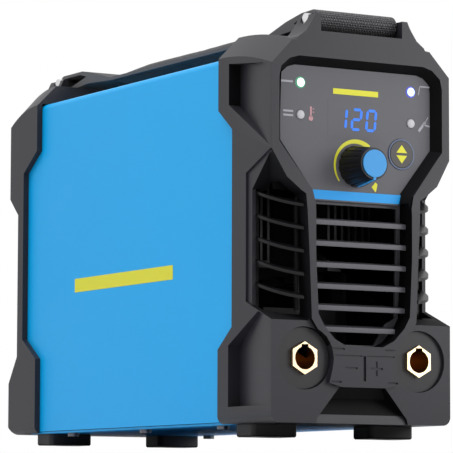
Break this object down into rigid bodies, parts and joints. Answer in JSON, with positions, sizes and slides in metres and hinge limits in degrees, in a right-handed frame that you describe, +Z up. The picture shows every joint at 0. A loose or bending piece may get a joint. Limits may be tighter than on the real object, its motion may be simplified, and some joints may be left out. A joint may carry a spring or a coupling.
{
  "type": "inverter arc welder",
  "caption": "Compact inverter arc welder with a folded blue cover between dark end mouldings, padded strap handle, recessed control panel with knob, slatted grille and twist-lock sockets",
  "frame": {"origin": "middle of the bounding box on the floor, between the rubber feet", "axes": "+X to the right as seen from the control panel, +Y from the control panel to the fan end, +Z up"},
  "size_m": [0.12, 0.3396, 0.2424],
  "materials": {
    "moulding": "fine grain, satin",
    "grille": "satin",
    "blue_coat": "smooth gloss",
    "rear_coat": "satin",
    "panel": "fine satin film",
    "display": "clear gloss",
    "lamp": "gloss",
    "knob": "satin",
    "knob_blue": "satin",
    "button": "satin",
    "button_ring": "satin",
    "socket_black": "satin",
    "socket_brass": "turned",
    "copper": "bare",
    "foot_rubber": "matte",
    "steel": "zinc plated",
    "fan_wire": "black",
    "fan_plastic": "satin",
    "black_part": "satin",
    "rocker": "gloss",
    "circuit_board": "lacquered",
    "ferrite": "ground",
    "heat_sink": "extruded",
    "can_sleeve": "shrink sleeve",
    "strap_web": "ribbed webbing",
    "strap_pad": "padded sleeve"
  },
  "bodies": {
    "housing": {"front_frame": "moulding", "rear_frame": "moulding", "front_grille": "grille", "left_corner_louvres": "grille", "right_corner_louvres": "grille", "cover": "blue_coat", "base_tray": "blue_coat", "rear_panel": "rear_coat", "control_panel": "panel", "display_lens": "display", "power_lamp": "lamp", "fault_lamp": "lamp", "stick_lamp": "lamp", "lift_lamp": "lamp", "button_ring": "button_ring", "negative_socket_collar": "socket_black", "positive_socket_collar": "socket_black", "negative_socket": "socket_brass", "positive_socket": "socket_brass", "negative_busbar": "copper", "positive_busbar": "copper", "transformer_winding": "copper", "choke_winding": "copper", "foot_front_left": "foot_rubber", "foot_front_right": "foot_rubber", "foot_rear_left": "foot_rubber", "foot_rear_right": "foot_rubber", "socket_nuts": "steel", "cover_screws": "steel", "foot_screws": "steel", "board_screws": "steel", "panel_screws": "steel", "fan_screws": "steel", "board_spacers": "steel", "front_strap_bar": "steel", "rear_strap_bar": "steel", "fan_guard": "fan_wire", "fan_housing": "fan_plastic", "display_module": "black_part", "dial_encoder": "black_part", "rectifier": "black_part", "power_transistors": "black_part", "switch_housing": "black_part", "cable_gland": "black_part", "gland_nut": "black_part", "control_board": "circuit_board", "main_board": "circuit_board", "transformer_core": "ferrite", "choke_core": "ferrite", "left_heat_sink": "heat_sink", "right_heat_sink": "heat_sink", "bulk_capacitors": "can_sleeve", "strap_webbing": "strap_web", "strap_sleeve": "strap_pad"},
    "knob": {"knob": "knob", "knob_cap": "knob_blue", "dial_shaft": "steel"},
    "mode_button": {"mode_button": "button"},
    "fan_rotor": {"fan_rotor": "fan_plastic"},
    "power_rocker": {"power_rocker": "rocker"}
  },
  "joints": [
    {"name": "dial_turn", "type": "hinge", "parent": "housing", "child": "knob", "pos_m": [0, -0.15825, 0.1535], "axis": [0, 1, 0], "continuous": true},
    {"name": "mode_press", "type": "slide", "parent": "housing", "child": "mode_button", "axis": [0, 1, 0], "range_m": [0, 0.0012], "stiffness_N_per_m": 900},
    {"name": "fan_spin", "type": "hinge", "parent": "housing", "child": "fan_rotor", "pos_m": [0, 0.13375, 0.1033], "axis": [0, 1, 0], "continuous": true},
    {"name": "power_rock", "type": "hinge", "parent": "housing", "child": "power_rocker", "pos_m": [-0.021, 0.14685, 0.1803], "axis": [1, 0, 0], "range_deg": [-20, 0]}
  ]
}
